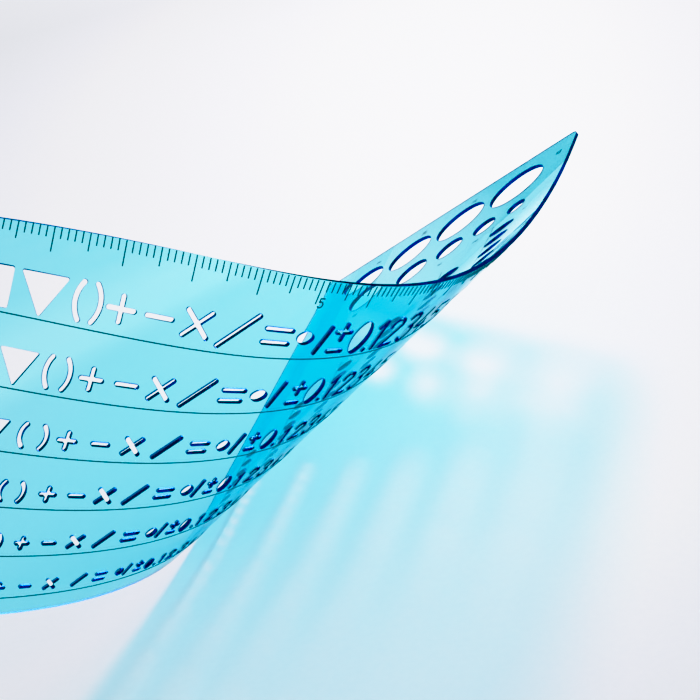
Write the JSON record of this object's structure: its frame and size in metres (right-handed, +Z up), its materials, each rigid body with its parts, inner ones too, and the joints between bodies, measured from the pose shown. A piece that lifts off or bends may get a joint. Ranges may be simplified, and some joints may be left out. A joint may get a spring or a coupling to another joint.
{
  "type": "flexible drafting stencil",
  "caption": "Thin translucent rectangular lettering and symbol stencil, held in a curl, with cut-out symbols, digits and circles and a printed millimetre scale.",
  "frame": {"origin": "centre of the bottom of the bounding box; the long straight edge touches z = 0", "axes": "+Z up from the table the curled sheet is held on; X runs across the raised printed end, Y runs away from it"},
  "size_m": [0.1136, 0.1352, 0.0736],
  "materials": {
    "sheet": "clear tinted sheet, polished",
    "ink": "screen printed, flat"
  },
  "bodies": {
    "root": {"stencil_sheet": "sheet", "scale_ticks_1mm": "ink", "scale_ticks_5mm": "ink", "scale_ticks_10mm": "ink", "scale_numerals": "ink", "row_rule_1": "ink", "row_rule_2": "ink", "row_rule_3": "ink", "row_rule_4": "ink", "row_rule_5": "ink", "row_rule_6": "ink", "circle_size_labels": "ink"}
  },
  "joints": []
}
